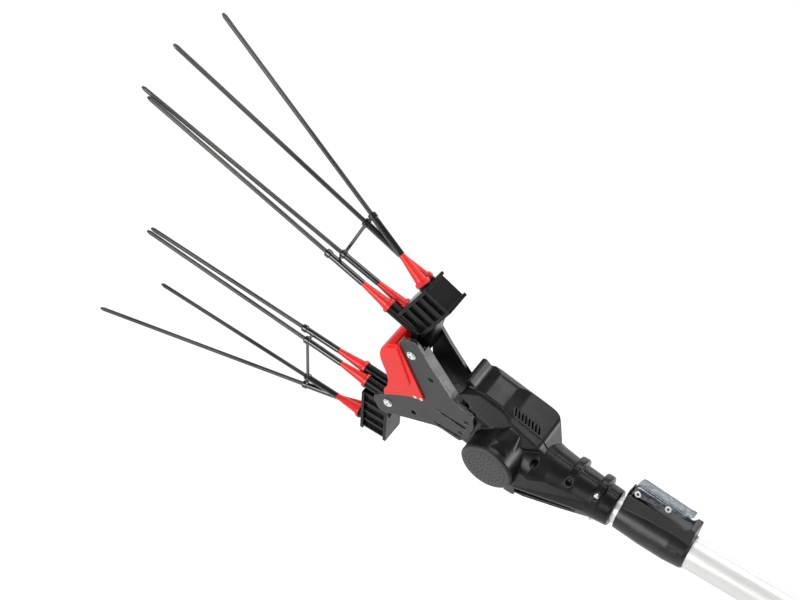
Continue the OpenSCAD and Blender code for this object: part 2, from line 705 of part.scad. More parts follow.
// Ring bearings: one in the right plate, one in the right housing half.
module axle_bearings() {
  color([0.55, 0.56, 0.58]) in_head() for (y = [-fork_half, -box_right + shell + 0.1]) difference() {
    pin_y(gear_u, 0, bearing_r, y, y + plate_t);
    pin_y(gear_u, 0, axle_r + run_gap, y - 1, y + plate_t + 1);
    for (e = [y, y + plate_t]) difference() {
      pin_y(gear_u, 0, 7.4, e - 0.5, e + 0.5);
      pin_y(gear_u, 0, 5.6, e - 1, e + 1);
    }
  }
}

// The pin stops short of the rod eyes: this is the pivot left open.
module crank_pin() color([0.75, 0.75, 0.77]) in_head() pin_y(gear_u + crank_throw, 0, crank_pin_r,
  gear_y[1] - 3.9, -rod_y[1] - side_gap);

// Upper rod from the crank to the comb lever; the lower one is the same, turned over.
module rod() {
  big = [gear_u + crank_throw, 0];
  small = [pivot_u - lever_arm[0], pivot_w - lever_arm[1]];
  along = unit(small - big);
  across = [-along[1], along[0]];
  along_y(rod_y[0], rod_y[1]) difference() {
    union() {
      translate(big) circle(r = 7.5);
      translate(small) circle(r = 6.5);
      polygon([big + across * 5, big - across * 5, small - across * 3.6, small + across * 3.6]);
    }
    translate(big) circle(r = crank_pin_r + 0.5);
    translate(small) circle(r = lever_pin_r + run_gap);
  }
}

module upper_rod() color([0.5, 0.51, 0.53]) in_head() rod();

module lower_rod() color([0.5, 0.51, 0.53]) in_head() rotate([180, 0, 0]) rod();

// combs, in the comb frame: p along the tines, Y across, q away from the middle line

// Foot of each tine: outer pair first, then the inner pair.
function foot(k) = [foot_p[k], (k == 0 || k == 3 ? 1 : -1) * tine_gap / 2,
  k < 2 ? pair_q[0] + (k == 0 ? 0.5 : -0.5) * pair_step : pair_q[1]];
// Unit direction of each tine; the outer two cross over, the inner two close in slowly.
function aim(k) =
  let (j = k < 2 ? 0 : 1, y = (k == 0 || k == 3 ? -1 : 1) * lean[j], c = sqrt(1 - y * y))
  [c * cos(splay[j]), y, c * sin(splay[j])];
function tine_at(k, l) = foot(k) + l * aim(k);
// End of the comb's lever in the comb frame.
lever_end = turned([-lever_arm[0], -lever_arm[1]], -comb_tilt);

// half profile of radius over length, turned about a tine's axis
module about_tine(k, pts) {
  translate(foot(k)) rotate([0, acos(aim(k)[2]), atan2(aim(k)[1], aim(k)[0])]) rotate_extrude()
    polygon(pts);
}

// Two flanges with ribs round a hollow core, tine sockets, pivot hub, arm and drive lever.
module comb() {
  top = flange_q[1] - 4;
  ribs = [0, 0.26, 0.52, 0.78, 1];
  difference() {
    union() {
      for (p = flange_p) translate([p, 0, 0]) rotate([90, 0, 90]) linear_extrude(height = flange_t)
        polygon(soft([[-comb_half, flange_q[0], 2], [comb_half, flange_q[0], 2],
          [comb_half, flange_q[1], 1],
          [-comb_half, flange_q[1], 1]]));
      difference() {
        translate([flange_p[0] + 1, -core_half, flange_q[0] + 0.5])
          cube([flange_p[1] - flange_p[0], 2 * core_half, top - flange_q[0]]);
        translate([flange_p[0] + 6, -core_half + 2.6, flange_q[0] - 1])
          cube([flange_p[1] - flange_p[0] - 9, 2 * core_half - 5.2, top - flange_q[0] - 2]);
      }
      for (side = [0, 1], f = ribs) mirror([0, side, 0])
        translate([flange_p[0] + 1, core_half - 1, flange_q[0] + 0.5 + f * (top - flange_q[0] - 3)])
        cube([flange_p[1] - flange_p[0], comb_half - core_half - 0.5, 3]);
      for (k = [0 : 3]) bar(tine_at(k, (k < 2 ? flange_p[1] + 0.5 : 9) - foot_p[k]), tine_at(k, -0.1),
        socket_r);
      pin_y(0, 0, hub_r, -hub_half, hub_half);
      along_y(-10, 10) polygon(soft([[-hub_r + 1.5, -2, 1], [2, -hub_r + 1, 1], [15, 2, 3],
        [17, flange_q[0] + 3, 2],
        [flange_p[0] + 2, 56, 1], [flange_p[0] + 0.5, 56, 1], [-hub_r + 2, 6, 4]]));
      along_y(lever_y[0], lever_y[1]) {
        translate(lever_end) circle(r = 7);
        polygon([[-8, 6], [lever_end[0] - 6, lever_end[1] + 2.6],
          [lever_end[0] + 6, lever_end[1] - 2.6], [9, -4]]);
      }
    }
    pin_y(0, 0, bush_r + fix_gap, -fork_half, fork_half);
    pin_y(lever_end[0], lever_end[1], lever_pin_r + fix_gap, 0, 40);
    for (k = [0 : 3]) bar(tine_at(k, -10), tine_at(k, 20), tine_r + fix_gap);
    for (k = [0 : 3]) about_tine(k, [[0, -fix_gap], [holder_r + slide_gap, -fix_gap],
      [holder_r + slide_gap, 5], [0, 5]]);
  }
}

module upper_comb() color([0.1, 0.1, 0.11]) on_upper() comb();

module lower_comb() color([0.1, 0.1, 0.11]) on_lower() comb();

// Flanged bushes pressed into both ends of a comb hub.
module bushes() {
  for (side = [0, 1]) mirror([0, side, 0]) difference() {
    union() {
      pin_y(0, 0, bush_r, hub_half - 9, hub_half + 0.5);
      pin_y(0, 0, bush_r + 2.2, hub_half, hub_half + 1.5);
    }
    pin_y(0, 0, shaft_r + run_gap, 0, fork_half);
  }
}

module upper_bushes() color([0.62, 0.47, 0.25]) on_upper() bushes();

module lower_bushes() color([0.62, 0.47, 0.25]) on_lower() bushes();

module lever_pin() pin_y(lever_end[0], lever_end[1], lever_pin_r, rod_y[0], lever_y[1]);

module upper_lever_pin() color([0.75, 0.75, 0.77]) on_upper() lever_pin();

module lower_lever_pin() color([0.75, 0.75, 0.77]) on_lower() lever_pin();

// Four holders: a collar and a long cone, bored for the tine.
module holders() {
  bore = tine_r + fix_gap;
  for (k = [0 : 3]) about_tine(k, [[bore, 0], [holder_r, 0], [holder_r, 3.2], [holder_r - 0.8, 4.4],
    [holder_r - 1.8, 4.6], [holder_r - 2.3, 8], [sleeve_r - 0.5, holder_len], [bore, holder_len]]);
}

module upper_holders() color([0.86, 0.07, 0.06]) on_upper() holders();

module lower_holders() color([0.86, 0.07, 0.06]) on_lower() holders();

// Sleeves from holder to ring, with links between neighbours and one long bar across.
module brace() {
  start = holder_len + 0.2;
  difference() {
    union() {
      for (k = [0 : 3]) about_tine(k, [[0, start], [sleeve_r, start], [sleeve_r, ring_at - 3],
        [sleeve_r + 1, ring_at - 2.4],
        [sleeve_r + 1, ring_at + 2.4], [sleeve_r, ring_at + 3.6], [0, ring_at + 3.6]]);
      bar(tine_at(0, ring_at), tine_at(1, ring_at), 1.8);
      bar(tine_at(2, ring_at), tine_at(3, ring_at - foot_p[3] + foot_p[2]), 1.8);
      bar(tine_at(1, ring_at), tine_at(2, ring_at), 1.9);
    }
    for (k = [0 : 3]) bar(tine_at(k, holder_len - 5), tine_at(k, ring_at + 12), tine_r + fix_gap);
  }
}

module upper_brace() color([0.07, 0.07, 0.08]) on_upper() brace();

module lower_brace() color([0.07, 0.07, 0.08]) on_lower() brace();

// Carbon tine with a tapered tip, seated in its socket.
module tine(k, length) {
  about_tine(k, [[0, -9.5], [tine_r, -9.5], [tine_r, length - 4], [tine_r - 1, length], [0, length]]);
}

module upper_tine_1() color([0.2, 0.19, 0.18]) on_upper() tine(0, upper_len[0]);
module upper_tine_2() color([0.2, 0.19, 0.18]) on_upper() tine(1, upper_len[1]);
module upper_tine_3() color([0.2, 0.19, 0.18]) on_upper() tine(2, upper_len[2]);
module upper_tine_4() color([0.2, 0.19, 0.18]) on_upper() tine(3, upper_len[3]);
module lower_tine_1() color([0.2, 0.19, 0.18]) on_lower() tine(0, lower_len[0]);
module lower_tine_2() color([0.2, 0.19, 0.18]) on_lower() tine(1, lower_len[1]);
module lower_tine_3() color([0.2, 0.19, 0.18]) on_lower() tine(2, lower_len[2]);
module lower_tine_4() color([0.2, 0.19, 0.18]) on_lower() tine(3, lower_len[3]);

outer_pole();
inner_pole();
clamp_sleeve();
clamp_pad();
clamp_lever();
clamp_pin();
clamp_rivet();
housing_left();
housing_right();
motor_cap();
housing_screws();
fork_left();
fork_right();
fork_spacers();
fork_screws();
front_guard();
guard_screws();
pivot_shafts();
pivot_screws();
pivot_washers();
motor_can();
motor_shaft();
pinion();
crank_gear();
gear_axle();
axle_bearings();
crank_pin();
upper_rod();
lower_rod();
upper_comb();
lower_comb();
upper_bushes();
lower_bushes();
upper_lever_pin();
lower_lever_pin();
upper_holders();
lower_holders();
upper_brace();
lower_brace();
upper_tine_1();
upper_tine_2();
upper_tine_3();
upper_tine_4();
lower_tine_1();
lower_tine_2();
lower_tine_3();
lower_tine_4();
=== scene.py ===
import math
import bpy
import bmesh
from mathutils import Matrix, Vector


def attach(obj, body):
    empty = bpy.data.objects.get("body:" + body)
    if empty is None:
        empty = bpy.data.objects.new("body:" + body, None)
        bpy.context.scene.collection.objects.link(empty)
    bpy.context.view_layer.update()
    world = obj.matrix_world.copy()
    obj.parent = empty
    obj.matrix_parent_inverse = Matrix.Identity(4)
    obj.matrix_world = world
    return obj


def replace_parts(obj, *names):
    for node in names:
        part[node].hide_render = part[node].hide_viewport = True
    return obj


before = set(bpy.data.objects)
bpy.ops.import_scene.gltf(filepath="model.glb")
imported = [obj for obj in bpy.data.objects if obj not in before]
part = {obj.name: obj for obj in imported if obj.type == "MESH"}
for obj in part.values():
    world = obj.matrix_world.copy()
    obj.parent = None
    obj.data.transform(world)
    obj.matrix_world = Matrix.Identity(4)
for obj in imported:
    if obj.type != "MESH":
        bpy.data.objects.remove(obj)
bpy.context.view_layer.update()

scene = bpy.context.scene
scene.view_settings.view_transform = "Standard"

# Camera: a long lens held behind the tool, to its left and well above it,
# so that the pole runs out of the lower right corner of the picture.
camera_place = Vector((0.1557, 0.8720, 1.4228))
right = Vector((-0.8244, -0.5636, 0.0525)).normalized()
back = Vector((-0.3141, 0.5327, 0.7858))
back = (back - right * back.dot(right)).normalized()
up = back.cross(right)
lens = bpy.data.cameras.new("photo_camera")
lens.sensor_fit = "HORIZONTAL"
lens.sensor_width = 36.0
lens.lens = 72.0
lens.clip_end = 20.0
camera = bpy.data.objects.new("photo_camera", lens)
camera.matrix_world = Matrix.Translation(camera_place) @ Matrix((right, up, back)).transposed().to_4x4()
scene.collection.objects.link(camera)
scene.camera = camera

# Studio: a pale sheet far below the tool, seen as plain white, that still takes
# a faint shadow, under a pale sky and five large soft lamps.
floor_half = 6.0
floor_centre = (0.5, 0.0, -0.42)
paper_grey = (0.3, 0.3, 0.3, 1.0)
paper_white = 0.8
sky_fill = 0.22
sky_white = 0.88
floor_mesh = bmesh.new()
bmesh.ops.create_grid(floor_mesh, x_segments=1, y_segments=1, size=floor_half)
bmesh.ops.translate(floor_mesh, vec=floor_centre, verts=floor_mesh.verts)
floor_data = bpy.data.meshes.new("studio_floor")
floor_mesh.to_mesh(floor_data)
floor_mesh.free()
floor = bpy.data.objects.new("studio_floor", floor_data)
scene.collection.objects.link(floor)
floor_paper = bpy.data.materials.new("studio_paper")
floor_paper.use_nodes = True
net = floor_paper.node_tree
net.nodes.clear()
paper_out = net.nodes.new("ShaderNodeOutputMaterial")
paper_sum = net.nodes.new("ShaderNodeAddShader")
paper_diffuse = net.nodes.new("ShaderNodeBsdfDiffuse")
paper_diffuse.inputs["Color"].default_value = paper_grey
paper_glow = net.nodes.new("ShaderNodeEmission")
paper_path = net.nodes.new("ShaderNodeLightPath")
paper_seen = net.nodes.new("ShaderNodeMath")
paper_seen.operation = "MAXIMUM"
net.links.new(paper_path.outputs["Is Camera Ray"], paper_seen.inputs[0])
net.links.new(paper_path.outputs["Is Glossy Ray"], paper_seen.inputs[1])
paper_level = net.nodes.new("ShaderNodeMath")
paper_level.operation = "MULTIPLY"
paper_level.inputs[1].default_value = paper_white
net.links.new(paper_seen.outputs[0], paper_level.inputs[0])
net.links.new(paper_level.outputs[0], paper_glow.inputs["Strength"])
net.links.new(paper_diffuse.outputs[0], paper_sum.inputs[0])
net.links.new(paper_glow.outputs[0], paper_sum.inputs[1])
net.links.new(paper_sum.outputs[0], paper_out.inputs["Surface"])
floor_data.materials.append(floor_paper)

sky = bpy.data.worlds.new("studio_sky")
scene.world = sky
sky.use_nodes = True
net = sky.node_tree
sky_glow = net.nodes["Background"]
sky_glow.inputs["Color"].default_value = (1.0, 1.0, 1.0, 1.0)
sky_path = net.nodes.new("ShaderNodeLightPath")
sky_level = net.nodes.new("ShaderNodeMapRange")
sky_level.inputs["To Min"].default_value = sky_fill
sky_level.inputs["To Max"].default_value = sky_white
net.links.new(sky_path.outputs["Is Camera Ray"], sky_level.inputs["Value"])
net.links.new(sky_level.outputs["Result"], sky_glow.inputs["Strength"])


def softbox(name, place, aim, size, power):
    lamp = bpy.data.lights.new(name, "AREA")
    lamp.shape = "RECTANGLE"
    lamp.size, lamp.size_y = size
    lamp.energy = power
    stand = bpy.data.objects.new(name, lamp)
    stand.location = place
    stand.rotation_euler = (Vector(aim) - Vector(place)).to_track_quat("-Z", "Y").to_euler()
    scene.collection.objects.link(stand)


softbox("top_softbox", (0.5, -0.95, 1.55), aim=(0.55, 0.0, 0.0), size=(1.1, 0.7), power=11.0)
softbox("left_softbox", (1.1, 1.5, 0.9), aim=(0.55, 0.0, 0.05), size=(1.2, 1.0), power=26.0)
softbox("rear_softbox", (-0.9, 0.5, 0.9), aim=(0.5, 0.0, 0.0), size=(1.0, 1.0), power=3.5)
softbox("right_softbox", (0.85, -1.6, 0.3), aim=(0.5, 0.0, 0.05), size=(1.4, 0.7), power=7.0)
softbox("rim_softbox", (-0.94, -0.96, 0.35), aim=(0.55, 0.0, 0.05), size=(1.0, 0.6), power=21.0)


# Outer and inner pole: drawn aluminium tubes with a silk anodised skin, one
# sliding in the other. The die leaves fine lines that run along them.
def bare_skin(name, colour, rough, metal):
    stuff = bpy.data.materials.new(name)
    stuff.use_nodes = True
    shader = stuff.node_tree.nodes["Principled BSDF"]
    shader.inputs["Base Color"].default_value = (*colour, 1.0)
    shader.inputs["Roughness"].default_value = rough
    shader.inputs["Metallic"].default_value = metal
    return stuff, stuff.node_tree, shader


def cloud(net, size, detail=2.0, at=(0.0, 0.0, 0.0), turn=(0.0, 0.0, 0.0)):
    spot = net.nodes.new("ShaderNodeTexCoord")
    spread = net.nodes.new("ShaderNodeMapping")
    spread.vector_type = "TEXTURE"
    spread.inputs["Location"].default_value = at
    spread.inputs["Rotation"].default_value = turn
    spread.inputs["Scale"].default_value = size
    noise = net.nodes.new("ShaderNodeTexNoise")
    noise.inputs["Scale"].default_value = 1.0
    noise.inputs["Detail"].default_value = detail
    net.links.new(spot.outputs["Object"], spread.inputs["Vector"])
    net.links.new(spread.outputs["Vector"], noise.inputs["Vector"])
    return noise.outputs[0]


def ranged(net, value, low, high, start=0.3, end=0.7):
    span = net.nodes.new("ShaderNodeMapRange")
    span.inputs["From Min"].default_value = start
    span.inputs["From Max"].default_value = end
    span.inputs["To Min"].default_value = low
    span.inputs["To Max"].default_value = high
    net.links.new(value, span.inputs["Value"])
    return span.outputs["Result"]


def mixed(net, share, first, second):
    blend = net.nodes.new("ShaderNodeMix")
    blend.data_type = "RGBA"
    net.links.new(share, blend.inputs[0])
    # The Mix node keeps its colour sockets behind those for numbers and vectors.
    for seat, tone in ((blend.inputs[6], first), (blend.inputs[7], second)):
        if isinstance(tone, tuple):
            seat.default_value = (*tone, 1.0)
        else:
            net.links.new(tone, seat)
    return blend.outputs[2]


def summed(net, first, second, kind="ADD"):
    add = net.nodes.new("ShaderNodeMath")
    add.operation = kind
    net.links.new(first, add.inputs[0])
    net.links.new(second, add.inputs[1])
    return add.outputs[0]


def soft_edges(net, radius):
    edge = net.nodes.new("ShaderNodeBevel")
    edge.samples = 8
    edge.inputs["Radius"].default_value = radius
    return edge.outputs["Normal"]


def raised(net, shader, height, depth, strength, normal):
    relief = net.nodes.new("ShaderNodeBump")
    relief.inputs["Distance"].default_value = depth
    relief.inputs["Strength"].default_value = strength
    net.links.new(height, relief.inputs["Height"])
    net.links.new(normal, relief.inputs["Normal"])
    net.links.new(relief.outputs["Normal"], shader.inputs["Normal"])


def dress(stuff, *names):
    for name in names:
        for seat in part[name].material_slots:
            seat.material = stuff


tube_skin, net, shader = bare_skin("silk_anodised_tube", (0.86, 0.86, 0.84), 0.4, 0.3)
die_lines = cloud(net, (0.35, 0.0005, 0.0005), 3.0)
handling = cloud(net, (0.06, 0.02, 0.02), 4.0)
drawn_share = ranged(net, summed(net, die_lines, handling, "MULTIPLY"), 0.0, 1.0, 0.12, 0.4)
net.links.new(mixed(net, drawn_share, (0.8, 0.8, 0.78), (0.9, 0.9, 0.885)), shader.inputs["Base Color"])
net.links.new(summed(net, ranged(net, die_lines, 0.32, 0.42), ranged(net, handling, -0.04, 0.07)),
              shader.inputs["Roughness"])
raised(net, shader, die_lines, 0.00004, 0.25, soft_edges(net, 0.0006))
dress(tube_skin, "outer_pole", "inner_pole")


# Clamp sleeve: a glass-filled nylon moulding pressed on the outer tube's end,
# matt from the grain of its mould and painted paler along the edges, partly as wear and partly as a painted
# highlight.
def edge_share(net, rounded, strength, start):
    flat = net.nodes.new("ShaderNodeNewGeometry")
    facing = net.nodes.new("ShaderNodeVectorMath")
    facing.operation = "DOT_PRODUCT"
    net.links.new(rounded, facing.inputs[0])
    net.links.new(flat.outputs["Normal"], facing.inputs[1])
    return ranged(net, facing.outputs["Value"], strength, 0.0, start, 0.99)


def moulded(name, colour, wear_and_highlight_tone, rough, edge=0.0007, wear_and_highlight_strength=1.0, flow=0.22, gloss=0.5):
    stuff, net, shader = bare_skin(name, colour, rough, 0.0)
    shader.inputs["Specular IOR Level"].default_value = gloss
    melt = cloud(net, (0.02, 0.02, 0.02), 3.0)
    spark = cloud(net, (0.0004, 0.0004, 0.0004), 2.0)
    scuff = ranged(net, cloud(net, (0.004, 0.004, 0.004), 4.0), 0.0, 1.0, 0.42, 0.62)
    rounded = soft_edges(net, edge)
    # Scuffed edges take a paler tone: partly wear, partly a painted highlight where rims would catch the
    # lamps.
    rub_and_highlight = summed(net, edge_share(net, rounded, wear_and_highlight_strength, 0.8), scuff, "MULTIPLY")
    deep = tuple((1.0 - flow) * tone for tone in colour)
    pale = tuple((1.0 + flow) * tone for tone in colour)
    net.links.new(mixed(net, rub_and_highlight, mixed(net, ranged(net, melt, 0.0, 1.0), deep, pale), wear_and_highlight_tone),
                  shader.inputs["Base Color"])
    net.links.new(summed(net, ranged(net, melt, rough - 0.05, rough + 0.06), ranged(net, spark, -0.05, 0.05)),
                  shader.inputs["Roughness"])
    raised(net, shader, spark, 0.00005, 0.3, rounded)
    return stuff, net, shader


clamp_nylon, net, shader = moulded("clamp_black_nylon", (0.009, 0.009, 0.0095), wear_and_highlight_tone=(0.06, 0.06, 0.062),
                                   rough=0.36, edge=0.0014)
dress(clamp_nylon, "clamp_sleeve")

# Clamp pad: a small block of white acetal under the lever's cam, pushed down
# on the inner tube and a little greyed where the tube has rubbed on it.
pad_acetal, net, shader = moulded("pad_acetal", (0.62, 0.61, 0.57), wear_and_highlight_tone=(0.4, 0.39, 0.36), rough=0.5)
dress(pad_acetal, "clamp_pad")


# Clamp lever: sheet steel folded to a channel with a curled tail and a cam in
# its nose, zinc plated, so that its skin breaks up into a bluish spangle.
def painted_over(net, shader, share, tone):
    under = shader.inputs["Base Color"].links[0].from_socket
    net.links.new(mixed(net, share, under, tone), shader.inputs["Base Color"])


def piece_of(mesh, name, finishes, body):
    data = bpy.data.meshes.new(name)
    mesh.to_mesh(data)
    mesh.free()
    for stuff in finishes:
        data.materials.append(stuff)
    piece = bpy.data.objects.new(name, data)
    scene.collection.objects.link(piece)
    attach(piece, body)
    return piece


lever_zinc, net, shader = bare_skin("lever_zinc_spangle", (0.66, 0.68, 0.71), 0.25, 1.0)
spangle_size = 0.002
spot = net.nodes.new("ShaderNodeTexCoord")
spread = net.nodes.new("ShaderNodeMapping")
spread.vector_type = "TEXTURE"
spread.inputs["Scale"].default_value = (spangle_size, spangle_size, spangle_size)
spangle = net.nodes.new("ShaderNodeTexVoronoi")
spangle.inputs["Scale"].default_value = 1.0
flake = net.nodes.new("ShaderNodeSeparateColor")
net.links.new(spot.outputs["Object"], spread.inputs["Vector"])
net.links.new(spread.outputs["Vector"], spangle.inputs["Vector"])
net.links.new(spangle.outputs["Color"], flake.inputs["Color"])
dull = cloud(net, (0.003, 0.003, 0.003), 5.0)
flake_share = ranged(net, summed(net, flake.outputs[0], dull, "MULTIPLY"), 0.0, 1.0, 0.1, 0.5)
net.links.new(mixed(net, flake_share, (0.09, 0.102, 0.115), (0.17, 0.186, 0.205)),
              shader.inputs["Base Color"])
net.links.new(summed(net, ranged(net, flake.outputs[1], 0.12, 0.2, 0.0, 1.0), ranged(net, dull, -0.03, 0.08)),
              shader.inputs["Roughness"])
folded = soft_edges(net, 0.0008)
# Painted highlight: the folds and sheet edges are painted a pale bright zinc, as if they caught the lamps.
painted_over(net, shader, edge_share(net, folded, 1.0, 0.86), (0.7, 0.72, 0.74))
raised(net, shader, dull, 0.00005, 0.25, folded)

# The sheet's edge is half a width and a height, and each station along the
# lever a place, the crown's and the foot's heights and half a width, in mm.
sheet_half = 9.5
wall_top = 8.0
sheet_top = 10.2
fold_height = sheet_top - wall_top
least_wall = 2.6
sheet = 0.0014
clamp_turn = math.radians(25.0)
half_edge = [(sheet_half, 0.0), (sheet_half, 4.0), (sheet_half, wall_top), (9.1, 9.2), (8.3, 9.9),
             (7.0, sheet_top), (2.4, sheet_top)]
sheet_edge = half_edge + [(-y, z) for y, z in reversed(half_edge)]
stations = [(379.8, 40.2, 33.9, 8.6), (378.9, 41.9, 31.9, 9.2), (377.2, 44.1, 30.8, 9.5),
            (374.0, 44.6, 30.3, 9.5), (366.0, 44.0, 30.7, 9.5), (360.0, 43.5, 31.7, 9.5),
            (350.0, 42.8, 33.1, 9.5), (340.0, 42.1, 34.4, 9.5), (330.0, 41.4, 35.7, 9.5),
            (322.0, 40.8, 36.9, 9.5), (319.0, 40.9, 39.0, 9.2), (316.6, 41.6, 40.9, 8.2),
            (314.6, 42.5, 42.2, 6.0)]
cam_length = 0.0084
cam_lobes = ((0.005, 0.3731, 0.0343), (0.0032, 0.3722, 0.0395))
lever_mesh = bmesh.new()
corners = [lever_mesh.verts.new((stations[0][0], y, z)) for y, z in sheet_edge]
rim_edges = [lever_mesh.edges.new(pair) for pair in zip(corners, corners[1:])]
for here, after in zip(stations, stations[1:]):
    grown = bmesh.ops.extrude_edge_only(lever_mesh, edges=rim_edges)["geom"]
    moved = [item for item in grown if isinstance(item, bmesh.types.BMVert)]
    bmesh.ops.translate(lever_mesh, vec=(after[0] - here[0], 0.0, 0.0), verts=moved)
    new_edges = [item for item in grown if isinstance(item, bmesh.types.BMEdge)]
    rim_edges = [edge for edge in new_edges if set(edge.verts) <= set(moved)]
for vert in lever_mesh.verts:
    x, crown, foot, half = min(stations, key=lambda station: abs(station[0] - vert.co.x))
    bend = min(1.0, (crown - foot) / least_wall)
    if vert.co.z > wall_top:
        height = crown - (sheet_top - vert.co.z) * bend
    else:
        height = foot + (crown - fold_height * bend - foot) * vert.co.z / wall_top
    vert.co = Vector((x, vert.co.y * half / sheet_half, height)) / 1000
bmesh.ops.recalc_face_normals(lever_mesh, faces=lever_mesh.faces)
top_face = max(lever_mesh.faces, key=lambda face: face.calc_center_median().z)
if top_face.normal.z < 0.0:
    bmesh.ops.reverse_faces(lever_mesh, faces=lever_mesh.faces)
bmesh.ops.solidify(lever_mesh, geom=lever_mesh.faces, thickness=sheet)
for radius, x, z in cam_lobes:
    cam = bmesh.ops.create_cone(lever_mesh, cap_ends=True, segments=40, radius1=radius, radius2=radius,
                                depth=cam_length)["verts"]
    bmesh.ops.rotate(lever_mesh, verts=cam, matrix=Matrix.Rotation(math.pi / 2, 3, "X"))
    bmesh.ops.translate(lever_mesh, vec=(x, 0.0, z), verts=cam)
bmesh.ops.rotate(lever_mesh, verts=lever_mesh.verts, matrix=Matrix.Rotation(clamp_turn, 3, "X"))
lever = piece_of(lever_mesh, "folded_lever", [lever_zinc], "lever")
lever.data.shade_smooth()
lever.data.set_sharp_from_angle(angle=math.radians(40))
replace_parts(lever, "clamp_lever")


# Clamp pin, cross rivet and pivot washers: bright zinc plated steel. Pin and
# rivet are tubular; a near-black disc of painted shade on each end stands for the dark inside of the bore.
def side_view(net, turn=0.0):
    spot = net.nodes.new("ShaderNodeTexCoord")
    level = net.nodes.new("ShaderNodeMapping")
    level.inputs["Rotation"].default_value = (-turn, 0.0, 0.0)
    flat_spot = net.nodes.new("ShaderNodeVectorMath")
    flat_spot.operation = "MULTIPLY"
    flat_spot.inputs[1].default_value = (1.0, 0.0, 1.0)
    net.links.new(spot.outputs["Object"], level.inputs["Vector"])
    net.links.new(level.outputs["Vector"], flat_spot.inputs[0])
    return flat_spot.outputs["Vector"]


def bore_shade_share(net, view, centre, inner, outer):
    reach = net.nodes.new("ShaderNodeVectorMath")
    reach.operation = "DISTANCE"
    reach.inputs[1].default_value = centre
    net.links.new(view, reach.inputs[0])
    return ranged(net, reach.outputs["Value"], 1.0, 0.0, inner, outer)


pin_zinc, net, shader = bare_skin("pin_bright_zinc", (0.72, 0.73, 0.75), 0.24, 1.0)
upset = cloud(net, (0.0012, 0.0012, 0.0012), 4.0)
net.links.new(mixed(net, ranged(net, upset, 0.0, 1.0), (0.74, 0.745, 0.755), (0.88, 0.885, 0.89)),
              shader.inputs["Base Color"])
clamp_view = side_view(net, clamp_turn)
pin_centre = (0.374, 0.0, 0.0352)
rivet_centre = (0.340, 0.0, 0.0378)
# Painted shade: the bore's dark inside, as a near-black disc on each end.
for centre in (pin_centre, rivet_centre):
    painted_over(net, shader, bore_shade_share(net, clamp_view, centre, 0.0013, 0.0017), (0.03, 0.03, 0.032))
net.links.new(ranged(net, upset, 0.26, 0.4), shader.inputs["Roughness"])
raised(net, shader, upset, 0.00003, 0.2, soft_edges(net, 0.0004))
dress(pin_zinc, "clamp_pin", "clamp_rivet", "pivot_washers")

# Housing halves: two black moulded shells, screwed together along the tool's
# middle plane, with vents, collars and the motor's barrel on them.
housing_black, net, shader = moulded("housing_black", (0.007, 0.007, 0.0076), wear_and_highlight_tone=(0.05, 0.05, 0.052),
                                     rough=0.31, edge=0.0023, gloss=0.3)
dress(housing_black, "housing_left", "housing_right")


# Motor cap: a charcoal disc snapped into the barrel's end. The floors of its
# rings of small blind holes are painted darker, a painted shade for the holes' depths.
def along(net, vector, axis):
    split = net.nodes.new("ShaderNodeSeparateXYZ")
    net.links.new(vector, split.inputs["Vector"])
    return split.outputs[axis]


cap_grey, net, shader = moulded("cap_charcoal", (0.047, 0.047, 0.05), wear_and_highlight_tone=(0.11, 0.11, 0.115), rough=0.5)
hole_floor, cap_face = 0.0466, 0.0470
spot = net.nodes.new("ShaderNodeTexCoord")
recess_shade = ranged(net, along(net, spot.outputs["Object"], "Y"), 1.0, 0.0, hole_floor, cap_face)
painted_over(net, shader, recess_shade, (0.03, 0.03, 0.031))
dress(cap_grey, "motor_cap")

# Housing screws: cross-head screws, turned into the right half through bosses
# on the left one, all alike: zinc plated at the neck's mouth, and behind it drawn in black steel as a painted
# shade for screws that sit dark down their bosses.
head_frame = Matrix.Translation((0.523, 0.0, 0.014)) @ Matrix.Rotation(math.radians(-12.4), 4, "Y")


def head_point(u, y, w):
    return head_frame @ Vector((u, y, w))


def plated(name, colour, rough, metal, grain, tones, sheen, depth, strength, edge, detail=4.0):
    stuff, net, shader = bare_skin(name, colour, rough, metal)
    skin = cloud(net, grain, detail)
    net.links.new(mixed(net, ranged(net, skin, 0.0, 1.0), *tones), shader.inputs["Base Color"])
    net.links.new(ranged(net, skin, *sheen), shader.inputs["Roughness"])
    raised(net, shader, skin, depth, strength, soft_edges(net, edge))
    return stuff


